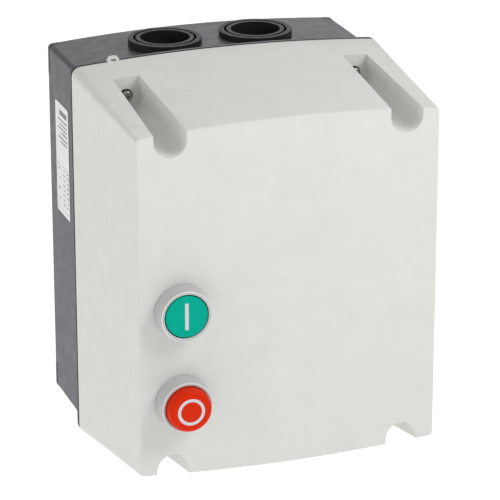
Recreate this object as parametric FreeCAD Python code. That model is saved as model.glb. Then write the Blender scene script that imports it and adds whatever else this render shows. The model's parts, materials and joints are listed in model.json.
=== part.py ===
import FreeCAD, Part
import math
import os

# Enclosed direct-on-line motor starter for wall mounting.
# Axes: X to the right, Y towards the wall, Z up.
# The origin is the centre of the four wall-fixing holes, on the back face.
# All sizes are in millimetres.

os.makedirs("parts", exist_ok=True)

V = FreeCAD.Vector

# Rear enclosure
BASE_HALF_W = 91.0          # side walls, outside
BASE_HALF_H = 110.9         # top and bottom walls at the corners
BOW = 4.3                   # rise of the arched top and bottom edges
WALL = 3.0
FLANGE_HALF_W = 95.3
FLANGE_HALF_H = 114.8
FLANGE_Y = (-64.6, -62.4)
BASE_CORNER_R = 3.0
SEAM_R = 5.5                # corner radius at the seam, on both halves

# Front cover
SEAM_Y = -66.7
FRONT_Y = -175.2
FRONT_HALF_W = 90.2
FRONT_TOP = 104.0
FRONT_BOTTOM = -98.0
FRONT_BOTTOM_BOW = 3.7
COVER_CORNER = ((SEAM_Y, SEAM_R), (-120.0, 4.6), (FRONT_Y, 2.2))

# Cover screws and the channels that lead to them
SCREW_X = 70.2
SCREW_Z = 103.4
SEAT_Y = -91.7
CHANNEL_R = (9.8, 7.8)      # at the front face and at the seat
CHANNEL_TOP_Z = 101.2
CHANNEL_LOW_Z = -96.7
CHANNEL_WALL = 2.5

# Cable entries
ENTRY_X = 28.5
ENTRY_Y = -34.8
ENTRY_R = 14.85
ENTRY_HOLE_R = 19.0
COLLAR_R = 22.0
COLLAR_Z = (108.8, 118.9)

# Wall fixing
FIX_X = 75.0
FIX_Z = 85.0
FIX_R = 2.6

# Push buttons, 22 mm series
BUTTON_X = -65.0
START_Z = 1.0
STOP_Z = -54.1
BEZEL_R = 14.75
BEZEL_Y = -186.6
TRAVEL = 5.0

# Contactor and overload relay share these
DEV_X = (-78.0, -33.0)
POLES = (-68.5, -55.5, -42.5)
BAR_Y = (-58.0, -56.8)      # current bars
PIN_Y = (-56.8, -55.6)      # relay pins, clamped behind the bars
DEV_BACK = -14.6
AXIS_Z = 27.0               # contactor's magnet axis


def box(x, y, z):
    low = V(min(x), min(y), min(z))
    return Part.makeBox(abs(x[1] - x[0]), abs(y[1] - y[0]), abs(z[1] - z[0]), low)


def cyl_y(x, z, r, y):
    return Part.makeCylinder(r, max(y) - min(y), V(x, min(y), z), V(0, 1, 0))


def cyl_z(x, y, r, z):
    return Part.makeCylinder(r, max(z) - min(z), V(x, y, min(z)), V(0, 0, 1))


def ring_y(x, z, r_out, r_in, y):
    hole = cyl_y(x, z, r_in, (min(y) - 1, max(y) + 1))
    return cyl_y(x, z, r_out, y).cut(hole)


def fuse(shapes):
    whole = shapes[0]
    if len(shapes) > 1:
        whole = whole.multiFuse(shapes[1:])
    return whole.removeSplitter()


def save(name, shape):
    if isinstance(shape, (list, tuple)):
        shape = Part.makeCompound(list(shape))
    for solid in shape.Solids:
        if not solid.isValid():
            print("not valid:", name)
    print(name, len(shape.Solids), round(shape.Volume, 1))
    shape.exportStep("parts/%s.step" % name)


def outline(y, half_w, top, bottom, bow_top=BOW, bow_low=BOW):
    """Closed wire with straight sides and arched top and bottom."""
    a = V(-half_w, y, bottom)
    b = V(-half_w, y, top)
    c = V(half_w, y, top)
    d = V(half_w, y, bottom)
    up = Part.Arc(b, V(0, y, top + bow_top), c).toShape()
    low = Part.Arc(d, V(0, y, bottom - bow_low), a).toShape()
    return Part.Wire([Part.makeLine(a, b), up, Part.makeLine(c, d), low])


def long_edges(shape):
    """Edges that run mainly from front to back, at the four corners."""
    found = []
    for e in shape.Edges:
        p = e.Vertexes[0].Point
        q = e.Vertexes[-1].Point
        if abs(p.y - q.y) > 0.5:
            found.append(e)
    return found


def slab(y, half_w, half_h, radius):
    """Arched slab between two planes, with its four long edges rounded."""
    y0, y1 = min(y), max(y)
    body = Part.Face(outline(y0, half_w, half_h, -half_h)).extrude(V(0, y1 - y0, 0))
    if radius:
        body = body.makeFillet(radius, long_edges(body))
    return body


def u_wire(y, x, z, r, end_z):
    """U profile: half round at z, with straight legs that run to end_z."""
    s = 1.0 if end_z > z else -1.0
    a = V(x - r, y, end_z)
    b = V(x - r, y, z)
    c = V(x + r, y, z)
    d = V(x + r, y, end_z)
    turn = Part.Arc(b, V(x, y, z - s * r), c).toShape()
    return Part.Wire([Part.makeLine(a, b), turn, Part.makeLine(c, d), Part.makeLine(d, a)])


def channel(x, z, grow, y_front, y_back, end_z):
    """Tapered screwdriver channel, or its wall when grow is above zero."""
    def r_at(y):
        t = (y - FRONT_Y) / (SEAT_Y - FRONT_Y)
        return CHANNEL_R[0] + t * (CHANNEL_R[1] - CHANNEL_R[0]) + grow
    wires = [u_wire(y, x, z, r_at(y), end_z) for y in (y_front, y_back)]
    return Part.makeLoft(wires, True, True)


def pan_screw(x, z, head_r, head_h, shank_r, seat, tip):
    """Cross-recessed pan-head screw that points at the wall; seat is under the head."""
    head = cyl_y(x, z, head_r, (seat - head_h, seat))
    rim = [e for e in head.Edges if abs(e.BoundBox.YMax - (seat - head_h)) < 1e-6]
    head = head.makeFillet(head_h * 0.45, rim)
    screw = head.fuse(cyl_y(x, z, shank_r, (seat - 0.2, tip)))
    arm = head_r * 0.55
    wide = head_r * 0.14
    deep = head_h * 0.62
    top = (seat - head_h - 0.5, seat - head_h + deep)
    cross = box((x - arm, x + arm), top, (z - wide, z + wide))
    cross = cross.fuse(box((x - wide, x + wide), top, (z - arm, z + arm)))
    return screw.cut(cross).removeSplitter()


def coil(x, z, radius, wire_r, y0, y1, turns):
    """Compression spring along Y between two seats."""
    height = y1 - y0 - 2 * wire_r
    helix = Part.makeHelix(height / turns, height, radius)
    start = V(radius, 0, 0)
    profile = Part.Wire([Part.makeCircle(wire_r, start, V(0, 1, 0))])
    body = Part.Wire(helix.Edges).makePipeShell([profile], True, True)
    body.rotate(V(0, 0, 0), V(1, 0, 0), -90)
    body.translate(V(x, y0 + wire_r, z))
    return body


def lead(points, radius):
    """Insulated wire through points, with rounded bends."""
    curve = Part.BSplineCurve()
    curve.interpolate([V(*p) for p in points])
    path = Part.Wire([curve.toShape()])
    tangent = curve.tangent(curve.FirstParameter)[0]
    profile = Part.Wire([Part.makeCircle(radius, V(*points[0]), tangent)])
    return path.makePipeShell([profile], True, True)


# ---------------------------------------------------------------- rear enclosure
def rear_enclosure():
    shell = slab((-62.5, 0.0), BASE_HALF_W, BASE_HALF_H, BASE_CORNER_R)
    flange = slab(FLANGE_Y, FLANGE_HALF_W, FLANGE_HALF_H, SEAM_R)
    pads = slab((-2.5, 0.0), BASE_HALF_W + 0.15, BASE_HALF_H + 0.15, BASE_CORNER_R)
    pads = pads.cut(box((-120, 120), (-20, 5), (-95.3, 93.2)))
    pads = pads.cut(box((-85.0, 85.0), (-20, 5), (-130, 130)))
    cavity = slab((-80.0, -WALL), BASE_HALF_W - WALL, BASE_HALF_H - WALL, 2.5)
    solid = fuse([shell, flange, pads]).cut(cavity)
    extra = []
    for sx in (-1, 1):
        for sz in (-1, 1):
            extra.append(cyl_y(sx * SCREW_X, sz * SCREW_Z, 6.5, (-66.4, -2.0)))
            extra.append(cyl_y(sx * FIX_X, sz * FIX_Z, 6.5, (-5.0, -2.0)))
    for x in RAIL_SCREW_X:
        extra.append(cyl_y(x, AXIS_Z, 6.0, (-7.0, -2.0)))
    for x in EARTH_END_X:
        extra.append(cyl_y(x, EARTH_Z, 5.0, (-10.0, -2.0)))
    # stiffening ribs on the floor of the box
    for x in (12.0, 47.0):
        extra.append(box((x - 0.9, x + 0.9), (-8.0, -2.0), (-50.0, 108.5)))
    for x in (-78.0, -33.0):
        extra.append(box((x - 0.9, x + 0.9), (-6.5, -2.0), (-68.0, -28.0)))
    solid = fuse([solid] + extra)
    holes = []
    for sx in (-1, 1):
        for sz in (-1, 1):
            holes.append(cyl_y(sx * SCREW_X, sz * SCREW_Z, 2.8, (-70.0, -52.0)))
            holes.append(cyl_y(sx * FIX_X, sz * FIX_Z, FIX_R, (-20.0, 5.0)))
            z = (sz * (COLLAR_Z[0] - 6), sz * (COLLAR_Z[1] + 3))
            holes.append(cyl_z(sx * ENTRY_X, ENTRY_Y, ENTRY_HOLE_R, z))
    for x in RAIL_SCREW_X:
        holes.append(cyl_y(x, AXIS_Z, 1.9, (-9.0, -1.2)))
    for x in EARTH_END_X:
        holes.append(cyl_y(x, EARTH_Z, 1.9, (-12.0, -2.5)))
    return solid.cut(fuse(holes)).removeSplitter()


RAIL_SCREW_X = (-83.0, -24.0)
EARTH_END_X = (22.0, 68.0)
EARTH_Z = -66.0

save("rear_enclosure", rear_enclosure())

seal = slab((-66.65, FLANGE_Y[0]), FLANGE_HALF_W - 0.15, FLANGE_HALF_H - 0.15, SEAM_R - 0.15)
seal = seal.cut(slab((-70.0, -60.0), FLANGE_HALF_W - 3.6, FLANGE_HALF_H - 3.6, 3.0))
save("cover_gasket", seal)

inserts = []
for sx in (-1, 1):
    for sz in (-1, 1):
        x, z = sx * SCREW_X, sz * SCREW_Z
        inserts.append(ring_y(x, z, 2.8, 2.05, (-66.4, -54.0)))
save("thread_inserts", inserts)

# Cable-entry rings, snapped into round holes in the top and bottom walls.
# The flange follows the arched wall, and a groove runs round its top.
def entry_ring(sx, sz):
    x = sx * ENTRY_X
    z = (sz * (COLLAR_Z[0] + 0.5), sz * COLLAR_Z[1])
    flange = cyl_z(x, ENTRY_Y, COLLAR_R, z)
    flange = flange.cut(slab((-90.0, 10.0), BASE_HALF_W, BASE_HALF_H, 0.0))
    rim = [e for e in flange.Edges if abs(abs(e.BoundBox.ZMin) - COLLAR_Z[1]) < 1e-6]
    flange = flange.makeFillet(0.5, rim)
    neck = cyl_z(x, ENTRY_Y, ENTRY_HOLE_R - 0.1, (sz * COLLAR_Z[0], sz * (COLLAR_Z[1] - 1.5)))
    lip = cyl_z(x, ENTRY_Y, ENTRY_HOLE_R + 1.0, (sz * COLLAR_Z[0], sz * (COLLAR_Z[0] + 1.7)))
    ring = fuse([flange, neck, lip])
    z = (sz * (COLLAR_Z[0] - 6), sz * (COLLAR_Z[1] + 3))
    ring = ring.cut(cyl_z(x, ENTRY_Y, ENTRY_R, z))
    g = (sz * (COLLAR_Z[1] - 2.5), sz * (COLLAR_Z[1] + 3))
    groove = cyl_z(x, ENTRY_Y, 18.9, g)
    return ring.cut(groove.cut(cyl_z(x, ENTRY_Y, 17.4, g)))


for side, sx in (("left", -1), ("right", 1)):
    save("entry_ring_top_" + side, entry_ring(sx, 1))
    save("entry_ring_low_" + side, entry_ring(sx, -1))

for side, sx in (("left", -1), ("right", 1)):
    x = sx * ENTRY_X
    head = cyl_z(x, ENTRY_Y, 17.2, (-COLLAR_Z[1], -COLLAR_Z[1] - 2.3))
    skirt = cyl_z(x, ENTRY_Y, 14.75, (-COLLAR_Z[1] - 0.1, 0.5 - COLLAR_Z[0]))
    lip = cyl_z(x, ENTRY_Y, 15.3, (1.5 - COLLAR_Z[0], 0.1 - COLLAR_Z[0]))
    plug = fuse([head, skirt, lip])
    plug = plug.cut(cyl_z(x, ENTRY_Y, 12.6, (1.5 - COLLAR_Z[1], -90.0)))
    save("blanking_plug_" + side, plug)

# Rating label on the left wall, 0.25 mm thick
label = box((-91.25, -91.0), (-41.5, -14.0), (11.4, 81.0))
corners = [e for e in label.Edges if abs(e.Vertexes[0].Point.x - e.Vertexes[-1].Point.x) > 0.1]
save("rating_label", label.makeFillet(2.0, corners))

# ---------------------------------------------------------------- front cover
def cover_section(y, radius):
    """Outline of the cover's outside at one depth, with rounded corners."""
    t = (y - FRONT_Y) / (SEAM_Y - FRONT_Y)
    w = FRONT_HALF_W + t * (FLANGE_HALF_W - FRONT_HALF_W)
    top = FRONT_TOP + t * (FLANGE_HALF_H - FRONT_TOP)
    low = FRONT_BOTTOM - t * (FLANGE_HALF_H + FRONT_BOTTOM)
    bow = FRONT_BOTTOM_BOW + t * (BOW - FRONT_BOTTOM_BOW)
    plate = Part.Face(outline(y, w, top, low, BOW, bow)).extrude(V(0, 1, 0))
    plate = plate.makeFillet(radius, long_edges(plate))
    for face in plate.Faces:
        if face.BoundBox.YMax < y + 0.001:
            return face.OuterWire


def cover_block(inset):
    """Tapered block of the cover, shrunk by inset on every side but the open one."""
    t = inset / (SEAM_Y - FRONT_Y)
    w = FRONT_HALF_W + t * (FLANGE_HALF_W - FRONT_HALF_W)
    top = FRONT_TOP + t * (FLANGE_HALF_H - FRONT_TOP)
    low = FRONT_BOTTOM - t * (FLANGE_HALF_H + FRONT_BOTTOM)
    a = outline(SEAM_Y, FLANGE_HALF_W - inset, FLANGE_HALF_H - inset, inset - FLANGE_HALF_H)
    b = outline(FRONT_Y + inset, w - inset, top - inset, low + inset, BOW, FRONT_BOTTOM_BOW)
    return Part.makeLoft([a, b], True, True)


def front_cover():
    outer = Part.makeLoft([cover_section(y, r) for y, r in COVER_CORNER], True, True)
    front = [e for e in outer.Edges if abs(e.BoundBox.YMax - FRONT_Y) < 0.01]
    outer = outer.makeFillet(1.3, front)
    walls = []
    cuts = []
    for sx in (-1, 1):
        x = sx * SCREW_X
        back = SEAT_Y + CHANNEL_WALL
        walls.append(channel(x, CHANNEL_TOP_Z, CHANNEL_WALL, FRONT_Y, back, 125.0))
        walls.append(channel(x, CHANNEL_LOW_Z, CHANNEL_WALL, FRONT_Y, back, -125.0))
        cuts.append(channel(x, CHANNEL_TOP_Z, 0.0, FRONT_Y - 4.0, SEAT_Y, 130.0))
        cuts.append(channel(x, CHANNEL_LOW_Z, 0.0, FRONT_Y - 4.0, SEAT_Y, -130.0))
    body = outer.cut(cover_block(WALL))
    for w in walls:
        body = body.fuse(w.common(outer))
    for sx in (-1, 1):
        for sz in (-1, 1):
            body = body.fuse(cyl_y(sx * SCREW_X, sz * SCREW_Z, 5.0, (SEAT_Y + 1.0, -67.2)))
            cuts.append(cyl_y(sx * SCREW_X, sz * SCREW_Z, 2.3, (-100.0, -60.0)))
    # seal tab on the top edge, with its slot
    tab = box((-74.0, -67.1), (-68.9, SEAM_Y), (112.3, 120.2))
    tab_corners = []
    for e in tab.Edges:
        p, q = e.Vertexes[0].Point, e.Vertexes[-1].Point
        if abs(p.y - q.y) > 1.0 and min(p.z, q.z) > 119.0:
            tab_corners.append(e)
    tab = tab.makeFillet(2.2, tab_corners)
    body = body.fuse(tab)
    cuts.append(box((-72.1, -69.0), (-75.0, -60.0), (117.2, 118.7)))
    for z in (START_Z, STOP_Z):
        cuts.append(cyl_y(BUTTON_X, z, 11.25, (-180.0, -170.0)))
    for c in cuts:
        body = body.cut(c)
    return body.removeSplitter()


save("front_cover", front_cover())

screws = []
washers = []
for sx in (-1, 1):
    for sz in (-1, 1):
        x, z = sx * SCREW_X, sz * SCREW_Z
        washers.append(ring_y(x, z, 3.8, 2.15, (SEAT_Y - 0.8, SEAT_Y)))
        screws.append(pan_screw(x, z, 3.3, 2.5, 2.0, SEAT_Y - 0.8, -55.5))
save("cover_screws", screws)
save("sealing_washers", washers)

# ---------------------------------------------------------------- push buttons
def bezel(z):
    """Front ring and threaded barrel of a 22 mm push button."""
    ring = cyl_y(BUTTON_X, z, BEZEL_R, (BEZEL_Y, -175.7))
    rim = [e for e in ring.Edges if abs(e.BoundBox.YMax - BEZEL_Y) < 1e-6]
    ring = ring.makeFillet(0.8, rim)
    barrel = cyl_y(BUTTON_X, z, 10.95, (-176.5, -158.0))
    body = ring.fuse(barrel)
    body = body.cut(cyl_y(BUTTON_X, z, 12.8, (BEZEL_Y - 1, -178.2)))
    body = body.cut(cyl_y(BUTTON_X, z, 8.06, (-179.0, -160.0)))
    body = body.cut(cyl_y(BUTTON_X, z, 5.05, (-161.0, -157.0)))
    body = body.cut(ring_y(BUTTON_X, z, 13.75, 13.45, (BEZEL_Y - 1, BEZEL_Y + 0.4)))
    # inside bevel towards the cap
    bevel = Part.makeCone(13.3, 12.75, 0.8, V(BUTTON_X, BEZEL_Y - 0.01, z), V(0, 1, 0))
    body = body.cut(bevel)
    return body.removeSplitter()


def lock_nut(z):
    """Hexagonal plastic nut behind the cover wall."""
    pts = []
    for i in range(7):
        a = math.radians(60 * i + 30)
        pts.append(V(BUTTON_X + 15.6 * math.cos(a), -172.2, z + 15.6 * math.sin(a)))
    nut = Part.Face(Part.makePolygon(pts)).extrude(V(0, 5.0, 0))
    return nut.cut(cyl_y(BUTTON_X, z, 11.0, (-175.0, -160.0)))


def cap(z, front, fillet):
    """Round button cap, with its front edge softened."""
    body = cyl_y(BUTTON_X, z, 12.4, (front, -183.7))
    rim = [e for e in body.Edges if abs(e.BoundBox.YMax - front) < 1e-6]
    return body.makeFillet(fillet, rim)


def stem(z, rod_end):
    """Guided stem behind a cap, with a long rod that reaches the device behind it."""
    parts = [cyl_y(BUTTON_X, z, 8.0, (-183.7, -173.0))]
    parts.append(cyl_y(BUTTON_X, z, 5.0, (-173.5, -157.0)))
    parts.append(cyl_y(BUTTON_X, z, 3.0, (-157.5, rod_end)))
    return fuse(parts)


START_TIP = -125.3
STOP_TIP = -99.5
START_FACE = -186.2
STOP_FACE = -193.2

for name, z, coil_r, wire_r in (("start", START_Z, 6.4, 0.45), ("stop", STOP_Z, 6.2, 0.5)):
    save(name + "_bezel", bezel(z))
    save(name + "_bezel_gasket", ring_y(BUTTON_X, z, 14.45, 11.3, (-175.7, FRONT_Y)))
    save(name + "_lock_nut", lock_nut(z))
    save(name + "_spring", coil(BUTTON_X, z, coil_r, wire_r, -173.0, -160.0, 4))

mark = box((BUTTON_X - 1.05, BUTTON_X + 1.05), (START_FACE, START_FACE + 0.5),
           (START_Z - 7.95, START_Z + 7.95))
save("start_mark", mark)
save("start_cap", cap(START_Z, START_FACE, 0.6).cut(mark))
save("start_rod", stem(START_Z, START_TIP))

mark = ring_y(BUTTON_X, STOP_Z, 8.0, 6.2, (STOP_FACE, STOP_FACE + 0.5))
save("stop_mark", mark)
save("stop_cap", cap(STOP_Z, STOP_FACE, 2.8).cut(mark))
save("stop_rod", stem(STOP_Z, STOP_TIP))

# ---------------------------------------------------------------- mounting rail
rail = box((-87.0, -19.0), (-8.0, -7.0), (AXIS_Z - 12.5, AXIS_Z + 12.5))
for s in (-1, 1):
    web = box((-87.0, -19.0), (-14.5, -7.0), (AXIS_Z + s * 11.5, AXIS_Z + s * 12.5))
    lip = box((-87.0, -19.0), (-14.5, -13.5), (AXIS_Z + s * 11.5, AXIS_Z + s * 17.5))
    rail = rail.fuse(web).fuse(lip)
for x in RAIL_SCREW_X:
    rail = rail.cut(cyl_y(x, AXIS_Z, 2.1, (-10.0, -5.0)))
save("mounting_rail", rail.removeSplitter())
save("rail_screws", [pan_screw(x, AXIS_Z, 3.4, 2.2, 1.9, -8.0, -1.4) for x in RAIL_SCREW_X])

# ---------------------------------------------------------------- contactor
CX = 0.5 * (DEV_X[0] + DEV_X[1])
TOP_SCREW_Z = 58.0
LOW_SCREW_Z = -4.0


def terminal_cuts(screw_z, bar_z, tier_y):
    """Bar slots, screw pockets and screw holes for the three poles."""
    cuts = []
    for x in POLES:
        cuts.append(box((x - 3.1, x + 3.1), (BAR_Y[0] - 0.1, BAR_Y[1] + 0.1), bar_z))
        cuts.append(cyl_y(x, screw_z, 4.3, (tier_y - 1.0, BAR_Y[0])))
        cuts.append(cyl_y(x, screw_z, 1.8, (BAR_Y[0] - 1.0, -44.0)))
    return cuts


def pole_bars(z, screw_z):
    bars = []
    for x in POLES:
        bar = box((x - 3.0, x + 3.0), BAR_Y, z)
        bars.append(bar.cut(cyl_y(x, screw_z, 1.85, (-62.0, -52.0))))
    return bars


lower = box(DEV_X, (DEV_BACK, -48.0), (-12.0, 66.0))
lower = lower.cut(box((-74.0, -37.0), (-17.6, -49.0), (6.0, 48.0)))
for s in (-1, 1):
    z = AXIS_Z + s * 17.0
    lower = lower.fuse(box((CX - 4.0, CX + 4.0), (-38.0, -17.0), (z - 4.2, z + 4.2)))
    # hooks that grip the rail's lips
    a = AXIS_Z + s * 17.6
    b = AXIS_Z + s * 21.0
    c = AXIS_Z + s * 14.0
    lower = lower.fuse(box((-66.0, -45.0), (-15.0, -11.0), (a, b)))
    lower = lower.fuse(box((-66.0, -45.0), (-13.4, -11.0), (c, b)))
for x in POLES:
    for z in (TOP_SCREW_Z, LOW_SCREW_Z):
        lower = lower.cut(cyl_y(x, z, 1.8, (-50.0, -44.0)))
save("contactor_base", lower.removeSplitter())

upper = box(DEV_X, (-48.0, -62.0), (-12.0, 66.0))
upper = upper.fuse(box(DEV_X, (-61.0, -97.6), (6.0, 48.0)))
upper = upper.cut(box((-75.0, -36.0), (-47.0, -94.0), (9.0, 45.0)))
upper = upper.cut(box((-74.0, -37.0), (-47.0, -56.4), (6.0, 48.0)))
upper = upper.cut(box((CX - 4.1, CX + 4.1), (-93.0, -99.0), (AXIS_Z - 4.1, AXIS_Z + 4.1)))
for c in terminal_cuts(TOP_SCREW_Z, (44.0, 62.0), -62.0):
    upper = upper.cut(c)
for c in terminal_cuts(LOW_SCREW_Z, (-8.0, 10.0), -62.0):
    upper = upper.cut(c)
for x in POLES:
    upper = upper.cut(box((x - 3.1, x + 3.1), (PIN_Y[0] - 0.1, PIN_Y[1] + 0.1), (-13.0, 2.2)))
    # cable mouths above and below the terminals
    upper = upper.cut(box((x - 4.0, x + 4.0), (-61.0, -57.9), (61.0, 67.0)))
for x in (-62.0, -49.0):
    # barriers between the poles
    upper = upper.fuse(box((x - 0.8, x + 0.8), (-66.0, -61.0), (48.0, 66.0)))
    upper = upper.fuse(box((x - 0.8, x + 0.8), (-66.0, -61.0), (-12.0, 6.0)))
save("contactor_housing", upper.removeSplitter())

fixed = pole_bars((40.0, 62.0), TOP_SCREW_Z) + pole_bars((-8.0, 14.0), LOW_SCREW_Z)
save("fixed_contacts", fixed)
screws = []
for x in POLES:
    for z in (TOP_SCREW_Z, LOW_SCREW_Z):
        screws.append(pan_screw(x, z, 3.5, 2.2, 1.7, BAR_Y[0], -45.0))
save("contactor_terminal_screws", screws)

Z_CORE = (AXIS_Z - 7.0, AXIS_Z + 7.0)
LEGS = ((CX - 15.0, CX - 9.0), (CX - 4.0, CX + 4.0), (CX + 9.0, CX + 15.0))
core = [box((CX - 15.0, CX + 15.0), (-17.7, -23.0), Z_CORE)]
core += [box(leg, (-22.0, -36.0), Z_CORE) for leg in LEGS]
save("magnet_core", fuse(core))

form = box((CX - 8.6, CX + 8.6), (-23.2, -35.6), (AXIS_Z - 11.6, AXIS_Z + 11.6))
groove = box((CX - 9.0, CX + 9.0), (-24.2, -34.6), (AXIS_Z - 12.0, AXIS_Z + 12.0))
hub = box((CX - 5.1, CX + 5.1), (-24.2, -34.6), (AXIS_Z - 8.1, AXIS_Z + 8.1))
bore = box((CX - 4.2, CX + 4.2), (-20.0, -40.0), (AXIS_Z - 7.2, AXIS_Z + 7.2))
save("coil_former", form.cut(groove.cut(hub)).cut(bore))
wind = box((CX - 8.0, CX + 8.0), (-24.2, -34.6), (AXIS_Z - 11.0, AXIS_Z + 11.0))
turns = [e for e in wind.Edges if abs(e.Vertexes[0].Point.y - e.Vertexes[-1].Point.y) > 1]
save("coil_winding", wind.makeFillet(2.0, turns).cut(hub))

arm = [box((CX - 15.0, CX + 15.0), (-50.0, -45.0), Z_CORE)]
arm += [box(leg, (-46.0, -41.0), Z_CORE) for leg in LEGS]
save("armature", fuse(arm))

carrier = box((CX - 6.0, CX + 6.0), (-54.0, -50.0), (AXIS_Z - 20.5, AXIS_Z + 20.5))
carrier = carrier.cut(box((CX - 7, CX + 7), (-52.0, -49.0), (AXIS_Z + 17.5, AXIS_Z + 30)))
carrier = carrier.cut(box((CX - 7, CX + 7), (-52.0, -49.0), (AXIS_Z - 30, AXIS_Z - 17.5)))
carrier = carrier.fuse(box((CX - 18.0, CX + 18.0), (-70.0, -53.0), (AXIS_Z - 5, AXIS_Z + 5)))
carrier = carrier.fuse(box((CX - 4.0, CX + 4.0), (-98.6, -69.0), (AXIS_Z - 4, AXIS_Z + 4)))
for x in POLES:
    carrier = carrier.cut(box((x - 2.6, x + 2.6), (-64.2, -60.0), (AXIS_Z - 6, AXIS_Z + 6)))
save("contact_carrier", carrier.removeSplitter())
save("moving_contacts", [box((x - 2.5, x + 2.5), (-64.2, -63.0), (13.0, 41.0)) for x in POLES])
save("armature_springs", [coil(CX, AXIS_Z + s * 14.5, 2.0, 0.3, -50.0, -38.0, 5) for s in (-1, 1)])

# ---------------------------------------------------------------- start contact block
block = box((-72.0, -60.0), (-118.0, -97.6), (-9.0, 47.0))
block = block.cut(cyl_y(BUTTON_X, START_Z, 3.05, (-119.0, -106.0)))
block = block.cut(box((-70.0, -62.0), (-112.6, -103.0), (START_Z - 8.6, START_Z + 8.6)))
AUX_SCREW_Z = (17.0, 40.0)
for z in AUX_SCREW_Z:
    block = block.cut(cyl_y(-66.0, z, 3.3, (-119.0, -115.5)))
    block = block.cut(cyl_y(-66.0, z, 1.6, (-116.0, -106.0)))
    block = block.cut(box((-73.0, -66.0), (-115.4, -112.6), (z - 1.4, z + 1.4)))
save("start_contact_block", block.removeSplitter())
save("block_screws", [pan_screw(-66.0, z, 2.8, 1.9, 1.5, -115.5, -106.5) for z in AUX_SCREW_Z])
save("start_plunger", cyl_y(BUTTON_X, START_Z, 3.0, (START_TIP + 0.3, -110.0)))
bridge = box((-67.0, -63.0), (-110.0, -109.0), (START_Z - 8.0, START_Z + 8.0))
save("start_bridge", bridge)

# ---------------------------------------------------------------- overload relay
RELAY_SCREW_Z = -68.0
DIAL_X = -43.0
DIAL_Z = -40.0

rear = box(DEV_X, (DEV_BACK, -50.0), (-74.0, -18.0))
rear = rear.cut(box((-75.5, -35.5), (-17.0, -51.0), (-60.0, -21.0)))
for x in POLES:
    rear = rear.cut(cyl_y(x, RELAY_SCREW_Z, 1.8, (-51.0, -44.0)))
save("relay_base", rear)

front = box(DEV_X, (-50.0, -60.2), (-74.0, -18.0))
front = front.fuse(box(DEV_X, (-60.0, -92.0), (-62.0, -18.0)))
front = front.cut(box((-75.5, -35.5), (-49.0, -66.0), (-60.0, -21.0)))
front = front.cut(cyl_y(BUTTON_X, STOP_Z, 2.95, (-93.0, -65.0)))
front = front.cut(cyl_y(BUTTON_X, STOP_Z, 5.2, (-93.0, -80.0)))
front = front.cut(cyl_y(DIAL_X, DIAL_Z, 7.05, (-93.0, -88.0)))
front = front.cut(cyl_y(DIAL_X, DIAL_Z, 2.05, (-89.0, -65.0)))
for c in terminal_cuts(RELAY_SCREW_Z, (-72.0, -58.0), -60.2):
    front = front.cut(c)
for x in POLES:
    front = front.cut(box((x - 3.1, x + 3.1), (PIN_Y[0] - 0.1, PIN_Y[1] + 0.1), (-22, -17)))
    front = front.cut(box((x - 4.0, x + 4.0), (-60.3, -57.9), (-75.0, -71.0)))
save("relay_housing", front.removeSplitter())

pins = []
for x in POLES:
    pin = box((x - 2.5, x + 2.5), PIN_Y, (-30.0, 2.0))
    pins.append(pin.cut(cyl_y(x, LOW_SCREW_Z, 1.85, (-60.0, -50.0))))
save("relay_pins", pins)
save("relay_bars", pole_bars((-72.0, -52.0), RELAY_SCREW_Z))
save("relay_terminal_screws",
     [pan_screw(x, RELAY_SCREW_Z, 3.5, 2.2, 1.7, BAR_Y[0], -45.0) for x in POLES])
strips = []
for x in POLES:
    strip = box((x - 2.0, x + 2.0), (-55.6, -54.6), (-56.0, -26.0))
    foot = box((x - 2.0, x + 2.0), (-56.8, -55.5), (-56.0, -52.5))
    strips.append(strip.fuse(foot).removeSplitter())
save("bimetal_strips", strips)

plunger = cyl_y(BUTTON_X, STOP_Z, 4.8, (STOP_TIP + 0.3, -97.5))
plunger = plunger.fuse(cyl_y(BUTTON_X, STOP_Z, 2.9, (-98.0, -71.0)))
save("reset_plunger", plunger.removeSplitter())
save("reset_spring", coil(BUTTON_X, STOP_Z, 3.9, 0.4, -97.5, -80.0, 5))

dial = cyl_y(DIAL_X, DIAL_Z, 6.98, (-93.4, -88.3))
rim = [e for e in dial.Edges if abs(e.BoundBox.YMax + 93.4) < 1e-6]
dial = dial.makeFillet(0.5, rim).fuse(cyl_y(DIAL_X, DIAL_Z, 2.0, (-88.5, -70.0)))
dial = dial.cut(box((DIAL_X - 0.6, DIAL_X + 0.6), (-95.0, -92.0), (DIAL_Z - 4.5, DIAL_Z + 4.5)))
dial = dial.cut(cyl_y(DIAL_X, DIAL_Z + 5.6, 0.6, (-95.0, -93.0)))
save("current_dial", dial.removeSplitter())

# ---------------------------------------------------------------- earth terminal
bar = box((17.0, 73.0), (-14.0, -10.0), (EARTH_Z - 5.0, EARTH_Z + 5.0))
for x in EARTH_END_X:
    bar = bar.cut(cyl_y(x, EARTH_Z, 2.1, (-16.0, -8.0)))
CLAMP_X = (34.0, 45.0, 56.0)
for x in CLAMP_X:
    bar = bar.cut(cyl_y(x, EARTH_Z, 1.9, (-16.0, -8.0)))
save("earth_bar", bar)
feet = [pan_screw(x, EARTH_Z, 3.4, 2.2, 1.9, -14.0, -3.0) for x in EARTH_END_X]
clamps = [pan_screw(x, EARTH_Z, 4.2, 2.6, 1.8, -15.2, -7.5) for x in CLAMP_X]
save("earth_bar_screws", feet)
save("earth_clamp_screws", clamps)
save("earth_clamps", [box((x - 4.5, x + 4.5), (-15.2, -14.0), (EARTH_Z - 4.5, EARTH_Z + 4.5))
                      .cut(cyl_y(x, EARTH_Z, 1.9, (-16.0, -12.0))) for x in CLAMP_X])

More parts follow.
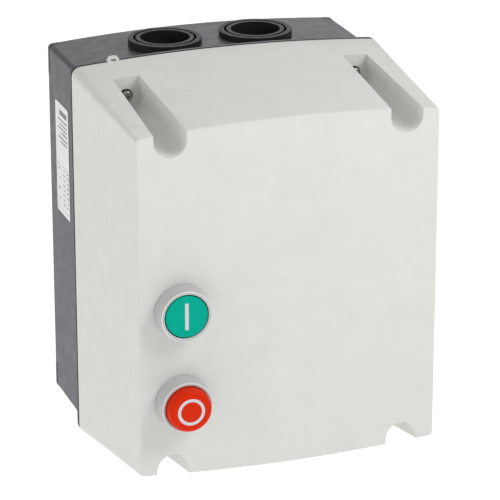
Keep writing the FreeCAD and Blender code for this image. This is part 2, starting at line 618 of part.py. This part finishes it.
# ---------------------------------------------------------------- control leads
first = lead([(-73.4, -114.0, 40.0), (-81.5, -110.0, 42.0), (-84.0, -90.0, 30.0),
              (-84.0, -60.0, 0.0), (-84.0, -48.0, -30.0), (-79.4, -45.0, -40.0)], 0.9)
second = lead([(-73.4, -114.0, 17.0), (-80.5, -111.0, 14.0), (-81.0, -98.0, 4.0),
               (-81.0, -85.0, -15.0), (-80.8, -80.0, -32.0), (-79.4, -78.0, -40.0)], 0.9)
save("control_leads", [first, second])
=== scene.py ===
import json
import math

import bmesh
import bpy
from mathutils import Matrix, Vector


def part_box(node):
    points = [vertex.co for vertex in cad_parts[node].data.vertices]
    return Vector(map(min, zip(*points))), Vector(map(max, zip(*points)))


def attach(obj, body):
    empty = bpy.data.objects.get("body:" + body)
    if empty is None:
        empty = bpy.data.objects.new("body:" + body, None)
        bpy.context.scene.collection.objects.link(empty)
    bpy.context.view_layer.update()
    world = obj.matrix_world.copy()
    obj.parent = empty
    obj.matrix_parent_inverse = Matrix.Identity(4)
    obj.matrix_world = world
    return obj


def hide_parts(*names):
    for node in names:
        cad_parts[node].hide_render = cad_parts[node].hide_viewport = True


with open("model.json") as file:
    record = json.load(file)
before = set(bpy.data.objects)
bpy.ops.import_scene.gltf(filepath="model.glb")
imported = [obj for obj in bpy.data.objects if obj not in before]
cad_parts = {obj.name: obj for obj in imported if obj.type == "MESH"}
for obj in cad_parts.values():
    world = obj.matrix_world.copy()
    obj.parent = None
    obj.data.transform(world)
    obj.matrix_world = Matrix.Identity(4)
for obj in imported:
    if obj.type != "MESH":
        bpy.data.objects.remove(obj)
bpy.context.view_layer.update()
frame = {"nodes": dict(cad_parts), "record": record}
nodes = frame["nodes"]
scene = bpy.context.scene
scene.view_settings.view_transform = "Standard"
scene.view_settings.look = "None"

MM = 0.001

# ---------------------------------------------------------------- camera
CAMERA_YAW = math.radians(19.263)
CAMERA_PITCH = math.radians(20.183)
CAMERA_TARGET = Vector((5.877, -90.0, -1.167)) * MM
CAMERA_DISTANCE = 1.7059
SENSOR_WIDTH = 36.0
LENS = 206.1504


def make_camera():
    data = bpy.data.cameras.new("camera")
    cam = bpy.data.objects.new("camera", data)
    scene.collection.objects.link(cam)
    level = math.cos(CAMERA_PITCH)
    look = Vector((math.sin(CAMERA_YAW) * level, math.cos(CAMERA_YAW) * level, -math.sin(CAMERA_PITCH)))
    cam.location = CAMERA_TARGET - look * CAMERA_DISTANCE
    cam.rotation_euler = look.to_track_quat("-Z", "Y").to_euler()
    data.sensor_width = SENSOR_WIDTH
    data.lens = LENS
    data.clip_start = 0.05
    data.clip_end = 50.0
    scene.camera = cam


make_camera()


# ---------------------------------------------------------------- material helpers
def new_material(name):
    mat = bpy.data.materials.new(name)
    mat.use_nodes = True
    tree = mat.node_tree
    shader = tree.nodes["Principled BSDF"]
    return mat, tree, shader


def noise(tree, scale, detail=2.0, stretch=None, rough=0.5):
    coord = tree.nodes.new("ShaderNodeTexCoord")
    tex = tree.nodes.new("ShaderNodeTexNoise")
    tex.inputs["Scale"].default_value = scale
    tex.inputs["Detail"].default_value = detail
    tex.inputs["Roughness"].default_value = rough
    if stretch:
        mapping = tree.nodes.new("ShaderNodeMapping")
        mapping.inputs["Scale"].default_value = stretch
        tree.links.new(coord.outputs["Object"], mapping.inputs["Vector"])
        tree.links.new(mapping.outputs["Vector"], tex.inputs["Vector"])
    else:
        tree.links.new(coord.outputs["Object"], tex.inputs["Vector"])
    return tex.outputs["Fac"]


def bands(tree, direction, scale, distortion=0.0):
    """Even stripes across one axis."""
    coord = tree.nodes.new("ShaderNodeTexCoord")
    wave = tree.nodes.new("ShaderNodeTexWave")
    wave.bands_direction = direction
    wave.inputs["Scale"].default_value = scale
    wave.inputs["Distortion"].default_value = distortion
    tree.links.new(coord.outputs["Object"], wave.inputs["Vector"])
    return wave.outputs["Fac"]


def ramp(tree, fac, low, high, start=0.35, end=0.65):
    """Colour that runs from low to high between two values of fac."""
    node = tree.nodes.new("ShaderNodeValToRGB")
    first, last = node.color_ramp.elements
    first.position = start
    first.color = (*low, 1.0)
    last.position = end
    last.color = (*high, 1.0)
    tree.links.new(fac, node.inputs["Fac"])
    return node.outputs["Color"]


def spread(tree, fac, low, high):
    """Value that runs from low to high over the middle of a noise."""
    node = tree.nodes.new("ShaderNodeMapRange")
    node.inputs["From Min"].default_value = 0.3
    node.inputs["From Max"].default_value = 0.7
    node.inputs["To Min"].default_value = low
    node.inputs["To Max"].default_value = high
    tree.links.new(fac, node.inputs["Value"])
    return node.outputs["Result"]


def bump(tree, shader, layers):
    """layers: (height socket, strength, distance in metres), coarse first."""
    last = None
    for height, strength, distance in layers:
        node = tree.nodes.new("ShaderNodeBump")
        node.inputs["Strength"].default_value = strength
        node.inputs["Distance"].default_value = distance
        tree.links.new(height, node.inputs["Height"])
        if last:
            tree.links.new(last, node.inputs["Normal"])
        last = node.outputs["Normal"]
    tree.links.new(last, shader.inputs["Normal"])


def varied(rgb, vary):
    """A darker and a lighter version of a colour."""
    return [c * (1.0 - vary) for c in rgb], [min(1.0, c * (1.0 + vary)) for c in rgb]


def moulded(name, rgb, rough=0.5, vary=0.03, grain=0.25, grain_scale=1400.0, flow=0.0, spec=0.5,
            fine=0.55, gloss=0.05):
    """Moulded plastic or rubber: faint colour drift, texture grain and uneven gloss."""
    mat, tree, shader = new_material(name)
    drift = noise(tree, 60.0, 9.0, None, fine)
    tree.links.new(ramp(tree, drift, *varied(rgb, vary)), shader.inputs["Base Color"])
    tree.links.new(spread(tree, noise(tree, 160.0, 3.0), rough - gloss, rough + gloss),
                   shader.inputs["Roughness"])
    shader.inputs["Specular IOR Level"].default_value = spec
    layers = []
    if flow:
        layers.append((noise(tree, 30.0, 2.0), flow, 0.002))
    layers.append((noise(tree, grain_scale, 2.0), grain, 0.0002))
    bump(tree, shader, layers)
    return mat


def metal(name, rgb, rough=0.3, brush=(1.0, 1.0, 1.0), scale=900.0, vary=0.08, grain=0.15):
    """Plated or machined metal with fine directional marks."""
    mat, tree, shader = new_material(name)
    marks = noise(tree, scale, 3.0, brush)
    tree.links.new(ramp(tree, marks, *varied(rgb, vary)), shader.inputs["Base Color"])
    shader.inputs["Metallic"].default_value = 1.0
    tree.links.new(spread(tree, noise(tree, scale * 0.4, 2.0, brush), rough - 0.08, rough + 0.08),
                   shader.inputs["Roughness"])
    bump(tree, shader, [(noise(tree, scale, 2.0, brush), grain, 0.0001)])
    return mat


def wound(name, rgb):
    """Enamelled wire laid turn beside turn along Y."""
    mat, tree, shader = new_material(name)
    turns = bands(tree, "Y", 420.0, 0.6)
    dark = [c * 0.35 for c in rgb]
    tree.links.new(ramp(tree, turns, dark, rgb, 0.1, 0.6), shader.inputs["Base Color"])
    shader.inputs["Metallic"].default_value = 0.8
    shader.inputs["Roughness"].default_value = 0.32
    bump(tree, shader, [(turns, 0.6, 0.0003)])
    return mat


def laminated(name, rgb):
    """Stacked sheet iron, one dark line between the sheets."""
    mat, tree, shader = new_material(name)
    sheets = bands(tree, "Z", 330.0)
    dark = [c * 0.3 for c in rgb]
    tree.links.new(ramp(tree, sheets, dark, rgb, 0.05, 0.3), shader.inputs["Base Color"])
    shader.inputs["Metallic"].default_value = 0.9
    shader.inputs["Roughness"].default_value = 0.45
    bump(tree, shader, [(sheets, 0.4, 0.0002)])
    return mat


# ---------------------------------------------------------------- materials
# fine polish of the turned button rings
POLISHED = {"vary": 0.006, "grain": 0.0, "grain_scale": 1500.0, "gloss": 0.01}

MATERIALS = {
    # enclosure
    "shell_dark": moulded("shell_dark", (0.070, 0.067, 0.078), rough=0.44, vary=0.12, grain=0.30,
                          grain_scale=1100.0, flow=0.05, spec=0.40, fine=0.75),
    "cover_light": moulded("cover_light", (0.715, 0.72, 0.687), rough=0.65, grain=0.30,
                           grain_scale=1000.0, flow=0.02, spec=0.2, fine=0.8),
    "entry_black": moulded("entry_black", (0.012, 0.0116, 0.0135), rough=0.46, vary=0.15, grain=0.2,
                           grain_scale=1300.0, spec=0.24),
    "seal_rubber": moulded("seal_rubber", (0.012, 0.012, 0.012), rough=0.7, vary=0.2, grain=0.4,
                           grain_scale=1800.0),
    "brass_insert": metal("brass_insert", (0.78, 0.58, 0.28)),
    "plug_rubber": moulded("plug_rubber", (0.035, 0.035, 0.038), rough=0.6, vary=0.15, grain=0.4,
                           grain_scale=1500.0),
    "label_film": moulded("label_film", (0.74, 0.745, 0.735), rough=0.35, vary=0.015, grain=0.08,
                          grain_scale=900.0),
    # inside the box
    "rail_zinc": metal("rail_zinc", (0.70, 0.70, 0.68), rough=0.36, brush=(1.0, 12.0, 12.0), scale=500.0),
    "screw_zinc": metal("screw_zinc", (0.34, 0.33, 0.31), rough=0.24),
    "device_dark": moulded("device_dark", (0.055, 0.056, 0.060), vary=0.08, grain=0.3,
                           grain_scale=1200.0),
    "device_light": moulded("device_light", (0.52, 0.53, 0.52), grain=0.3, grain_scale=1200.0),
    "contact_metal": metal("contact_metal", (0.80, 0.52, 0.36), brush=(1.0, 6.0, 1.0), scale=700.0),
    "magnet_iron": laminated("magnet_iron", (0.36, 0.36, 0.37)),
    "coil_nylon": moulded("coil_nylon", (0.62, 0.58, 0.44), vary=0.05),
    "coil_wire": wound("coil_wire", (0.62, 0.22, 0.07)),
    "reset_blue": moulded("reset_blue", (0.02, 0.10, 0.42), rough=0.4, vary=0.04),
    "dial_white": moulded("dial_white", (0.74, 0.74, 0.72), rough=0.4, vary=0.02),
    "lead_black": moulded("lead_black", (0.02, 0.02, 0.022), rough=0.42, vary=0.1, grain=0.2,
                          grain_scale=900.0),
    # push buttons
    "bezel_grey": moulded("bezel_grey", (0.50, 0.50, 0.495), rough=0.34, **POLISHED),
    # lighter copy of bezel_grey for the bezel's front face: a painted highlight, not a different finish
    "bezel_face_painted_highlight": moulded("bezel_face_painted_highlight", (0.70, 0.70, 0.69), rough=0.3, **POLISHED),
    "button_green": moulded("button_green", (0.0, 0.40, 0.285), rough=0.42, grain=0.12,
                            grain_scale=1500.0, spec=0.05),
    "button_red": moulded("button_red", (0.68, 0.022, 0.0), rough=0.42, grain=0.12,
                          grain_scale=1500.0, spec=0.1),
    "mark_white": moulded("mark_white", (0.64, 0.66, 0.70), rough=0.45, vary=0.02, grain=0.1,
                          grain_scale=1500.0, spec=0.2),
    "rod_grey": moulded("rod_grey", (0.22, 0.22, 0.23), rough=0.45, vary=0.05),
    "nut_black": moulded("nut_black", (0.025, 0.025, 0.027), rough=0.45, vary=0.1),
    "spring_steel": metal("spring_steel", (0.66, 0.66, 0.65), rough=0.22),
    # printed marks
    "label_print": moulded("label_print", (0.16, 0.16, 0.17), vary=0.25, grain=0.05, grain_scale=900.0),
    "scale_print": moulded("scale_print", (0.05, 0.05, 0.055), vary=0.2, grain=0.05, grain_scale=900.0),
}

for part in frame["record"]["subparts"]:
    surfaces = nodes[part["node"]].data.materials
    surfaces.clear()
    surfaces.append(MATERIALS[part["material_slot"]])

# ---------------------------------------------------------------- softened edges on moulded parts
EDGE_RADIUS = {
    "contactor_housing": 0.35,
    "contactor_base": 0.35,
    "relay_housing": 0.35,
    "relay_base": 0.35,
    "start_contact_block": 0.3,
    "contact_carrier": 0.25,
    "mounting_rail": 0.15,
    "earth_bar": 0.25,
    "start_lock_nut": 0.3,
    "stop_lock_nut": 0.3,
    "front_cover": 0.35,
}


def soften(name, width):
    obj = nodes[name]
    weld = obj.modifiers.new("weld", "WELD")
    weld.merge_threshold = 1e-6
    bevel = obj.modifiers.new("edge", "BEVEL")
    bevel.width = width * MM
    bevel.segments = 2
    bevel.limit_method = "ANGLE"
    bevel.angle_limit = math.radians(45.0)
    bevel.harden_normals = False
    bevel.use_clamp_overlap = True


for name, width in EDGE_RADIUS.items():
    soften(name, width)


# ---------------------------------------------------------------- helpers for pieces built here
def finish_piece(name, bm, material, body, replaced=(), smooth=40.0):
    """Make the object; edges sharper than smooth, in degrees, stay sharp."""
    mesh = bpy.data.meshes.new(name)
    bmesh.ops.recalc_face_normals(bm, faces=bm.faces)
    for face in bm.faces:
        face.smooth = True
    for edge in bm.edges:
        if len(edge.link_faces) == 2 and edge.calc_face_angle() > math.radians(smooth):
            edge.smooth = False
    bm.to_mesh(mesh)
    bm.free()
    obj = bpy.data.objects.new(name, mesh)
    scene.collection.objects.link(obj)
    mesh.materials.append(MATERIALS[material])
    if replaced:
        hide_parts(*replaced)
    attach(obj, body)
    return obj


def lathe(profile, x, z, segments=96):
    """Closed profile of (radius, y) in millimetres turned about a line along Y."""
    bm = bmesh.new()
    rings = []
    for i in range(segments):
        a = 2.0 * math.pi * i / segments
        c, s = math.cos(a), math.sin(a)
        rings.append([bm.verts.new(((x + r * c) * MM, y * MM, (z + r * s) * MM)) for r, y in profile])
    count = len(profile)
    for i in range(segments):
        a, b = rings[i], rings[(i + 1) % segments]
        for j in range(count):
            k = (j + 1) % count
            bm.faces.new((a[j], a[k], b[k], b[j]))
    return bm


def arc(cx, cy, r, start, end, steps):
    """Points (radius, y) on a quarter turn of a profile, angles in degrees."""
    points = []
    for i in range(steps + 1):
        a = math.radians(start + (end - start) * i / steps)
        points.append((cx + r * math.cos(a), cy + r * math.sin(a)))
    return points


def add_bar(bm, centre, size, turn=0.0):
    """Thin raised bar; turn is an angle about Y in degrees."""
    made = bmesh.ops.create_cube(bm, size=1.0)["verts"]
    c, s = math.cos(math.radians(turn)), math.sin(math.radians(turn))
    for v in made:
        x, y, z = v.co.x * size[0], v.co.y * size[1], v.co.z * size[2]
        v.co = Vector(((centre[0] + x * c + z * s) * MM, (centre[1] + y) * MM,
                       (centre[2] - x * s + z * c) * MM))


def extent(name):
    """Low and high corners of a node, in millimetres."""
    low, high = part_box(name)
    return [v / MM for v in low], [v / MM for v in high]


def centre_xz(name):
    low, high = extent(name)
    return 0.5 * (low[0] + high[0]), 0.5 * (low[2] + high[2])


# ---------------------------------------------------------------- push buttons
# radii of a button's ring, in millimetres
RING_R = 15.6
RIM_R = 14.35
RIM_ROUND = 0.8
GROOVE_R = (14.14, 13.8)
POCKET_R = 13.06
BORE_R = 8.06
ROD_BORE_R = 5.05
STEM_R = 10.9
THREAD_R = (10.6, 10.95)

# depths along Y
POCKET_Y = -178.2
SPRING_SEAT_Y = -160.0
STEM_END_Y = -158.0
THREAD_Y = (-159.0, -173.0)
THREAD_PITCH = 1.3

CAP_R = 12.8
CAP_ROUND = 3.0
CAP_MARK_R = (8.0, 6.2)
MARK_DEPTH = 0.5


def button_bezel(name):
    """Front ring with a grooved rim, its front face painted lighter as a highlight, and the threaded stem
    behind it.
    """
    x, z = centre_xz(name + "_bezel")
    front = extent(name + "_bezel")[0][1]
    back = extent(name + "_bezel_gasket")[0][1]
    outer, inner = GROOVE_R
    profile = [(RING_R - 0.2, back), (RING_R, back - 0.2)]
    profile += arc(RIM_R, front + RIM_ROUND, RIM_ROUND, 0, -90, 6)
    profile += [(outer + 0.04, front), (outer, front + 0.06), (outer - 0.02, front + 0.6)]
    profile += [(inner + 0.02, front + 0.6), (inner, front + 0.06), (inner - 0.04, front)]
    profile += [(13.5, front + 0.02), (13.4, front + 0.1), (POCKET_R + 0.06, front + 0.62)]
    profile += [(POCKET_R, front + 0.9), (POCKET_R, POCKET_Y), (BORE_R, POCKET_Y)]
    profile += [(BORE_R, SPRING_SEAT_Y), (ROD_BORE_R, SPRING_SEAT_Y), (ROD_BORE_R, STEM_END_Y)]
    profile += [(10.2, STEM_END_Y), (10.6, STEM_END_Y - 0.4)]
    root, crest = THREAD_R
    y, end = THREAD_Y
    while y > end:
        profile += [(root, y), (crest, y - 0.45), (crest, y - 0.65), (root, y - 1.1)]
        y -= THREAD_PITCH
    profile += [(STEM_R, -173.8), (STEM_R, back)]
    bm = lathe(profile, x, z)
    # front faces of the rim take the lighter bezel face material: painted highlight on the front-facing
    # ring
    for face in bm.faces:
        middle = face.calc_center_median()
        far = math.hypot(middle.x / MM - x, middle.z / MM - z)
        if middle.y / MM < front + RIM_ROUND - 0.02 and far < RIM_R + 0.67:
            face.material_index = 1
    piece = finish_piece(name + "_bezel_turned", bm, "bezel_grey", "cover",
                         (name + "_bezel",), 35.0)
    piece.data.materials.append(MATERIALS["bezel_face_painted_highlight"])


def stop_cap():
    """Projecting cap with a soft rim and the seat of its ring mark."""
    x, z = centre_xz("stop_cap")
    low, high = extent("stop_cap")
    front, back = low[1], high[1]
    outer, inner = CAP_MARK_R
    profile = [(0.0, back), (CAP_R - 0.2, back), (CAP_R, back - 0.2)]
    profile += arc(CAP_R - CAP_ROUND, front + CAP_ROUND, CAP_ROUND, 0, -90, 12)
    profile += [(outer, front), (outer, front + MARK_DEPTH)]
    profile += [(inner, front + MARK_DEPTH), (inner, front), (0.0, front)]
    bm = lathe(profile, x, z, 120)
    bmesh.ops.remove_doubles(bm, verts=bm.verts, dist=1e-7)
    finish_piece("stop_cap_turned", bm, "button_red", "stop_button", ("stop_cap",), 35.0)


button_bezel("start")
button_bezel("stop")
stop_cap()

# ---------------------------------------------------------------- printed marks
# the label's print runs between these two lines along Y, with one step between its columns
PRINT_LEFT = -38.4
PRINT_RIGHT = -16.0
FRAME_LEFT = -39.6
WORD_GAP = 0.6

# rows of words: distance below the label's top edge, where the row ends, height of the print
WORD_ROWS = ((10.0, -19.5, 1.1), (12.8, -23.0, 1.0), (15.4, -18.5, 1.0), (18.0, -25.5, 1.0),
             (21.2, -20.5, 1.1), (23.8, -24.5, 1.0))
WORDS = (2.4, 3.8, 1.8, 3.2, 4.4)

# table under the words
TABLE_TOP = 38.6
TABLE_BOTTOM = 66.6
TABLE_ROWS = 8
TABLE_PITCH = 3.1


def label_print():
    """Grey dashes that stand for print on the rating label; nothing can be read."""
    bm = bmesh.new()
    low, high = extent("rating_label")
    x = low[0] - 0.005
    top = high[2]

    def dash(y0, y1, down, tall):
        add_bar(bm, (x, 0.5 * (y0 + y1), top - down), (0.03, abs(y1 - y0), tall))

    dash(PRINT_LEFT, -23.0, 5.6, 3.2)
    for down, end, tall in WORD_ROWS:
        y = PRINT_LEFT
        step = 0
        while y < end:
            word = WORDS[(step + int(down)) % 5]
            dash(y, min(y + word, end), down, tall)
            y += word + WORD_GAP
            step += 1
    for i in range(TABLE_ROWS):
        down = TABLE_TOP + 2.2 + TABLE_PITCH * i
        dash(-39.0, -39.0 + (2.6, 3.2, 2.0, 3.0)[i % 4], down, 0.7)
        dash(-33.0, -33.0 + (4.8, 3.6, 5.4, 4.2)[(i + 1) % 4], down, 0.6)
        if i % 2 == 0:
            dash(-22.5, -22.5 + (4.0, 2.6)[(i // 2) % 2], down + 0.8, 0.7)
    middle = 0.5 * (TABLE_TOP + TABLE_BOTTOM)
    for y in (FRAME_LEFT, PRINT_RIGHT):
        add_bar(bm, (x, y, top - middle), (0.03, 0.18, TABLE_BOTTOM - TABLE_TOP))
    for down in (TABLE_TOP, TABLE_BOTTOM):
        dash(FRAME_LEFT, PRINT_RIGHT, down, 0.18)
    finish_piece("label_marks", bm, "label_print", "base")


POLE_PITCH = 13.0
CONTACTOR_SHELF_Y = -62.0
PRINT_LIFT = 0.02


def device_print():
    """Tick marks round the current dial, and pole marks on both devices."""
    bm = bmesh.new()
    low, high = extent("relay_housing")
    relay_face = low[1] - PRINT_LIFT
    dial_x, dial_z = high[0] - 10.0, high[2] - 22.0
    for i in range(14):
        turn = -130.0 + 20.0 * i
        major = i % 3 == 0
        inside, outside = 7.9, 9.6 if major else 9.0
        middle = 0.5 * (inside + outside)
        x = dial_x + middle * math.sin(math.radians(turn))
        z = dial_z + middle * math.cos(math.radians(turn))
        if x > high[0] - 0.6 or z > high[2] - 0.6:
            continue
        add_bar(bm, (x, relay_face, z), (0.35 if major else 0.22, 0.05, outside - inside), turn)
    centre = 0.5 * (low[0] + high[0])
    for pole in range(3):
        for k in range(pole + 1):
            x = centre + POLE_PITCH * (pole - 1) + 1.1 * (k - 0.5 * pole)
            add_bar(bm, (x, CONTACTOR_SHELF_Y - PRINT_LIFT, 50.6), (0.6, 0.05, 1.6))
            add_bar(bm, (x, relay_face, -59.6), (0.6, 0.05, 1.6))
    finish_piece("device_marks", bm, "scale_print", "base")


label_print()
device_print()


# ---------------------------------------------------------------- stage and light
def make_stage():
    """Pale floor well below the object, bright enough to read as white."""
    bm = bmesh.new()
    bmesh.ops.create_grid(bm, x_segments=8, y_segments=8, size=8.0)
    mesh = bpy.data.meshes.new("floor")
    bm.to_mesh(mesh)
    bm.free()
    floor = bpy.data.objects.new("floor", mesh)
    floor.location = (0.0, 0.0, -1.2)
    scene.collection.objects.link(floor)
    mat, tree, shader = new_material("floor")
    tree.links.new(ramp(tree, noise(tree, 1.5), (0.93, 0.93, 0.93), (0.95, 0.95, 0.95)),
                   shader.inputs["Base Color"])
    shader.inputs["Roughness"].default_value = 0.9
    shader.inputs["Emission Color"].default_value = (1.0, 1.0, 1.0, 1.0)
    shader.inputs["Emission Strength"].default_value = 0.60
    mesh.materials.append(mat)


def make_world():
    world = bpy.data.worlds.new("world")
    scene.world = world
    world.use_nodes = True
    background = world.node_tree.nodes["Background"]
    background.inputs["Color"].default_value = (1.0, 1.0, 1.0, 1.0)
    background.inputs["Strength"].default_value = 0.52


def area_light(name, place, aim, size, power):
    """Soft round light; place, aim and size are in metres."""
    data = bpy.data.lights.new(name, "AREA")
    data.shape = "DISK"
    data.size = size
    data.energy = power
    lamp = bpy.data.objects.new(name, data)
    lamp.visible_camera = False
    lamp.location = place
    lamp.rotation_euler = (Vector(aim) - Vector(place)).to_track_quat("-Z", "Y").to_euler()
    scene.collection.objects.link(lamp)


make_stage()
make_world()
area_light("key", place=(0.52, -0.70, 0.72), aim=(0.0, -0.12, 0.02), size=0.6, power=4.7)
area_light("back", place=(0.6, 1.7, 0.62), aim=(0.0, -0.1, 0.1), size=1.2, power=2.6)
area_light("fill", place=(-2.2, -0.6, 0.6), aim=(0.0, -0.1, 0.0), size=1.6, power=9.0)
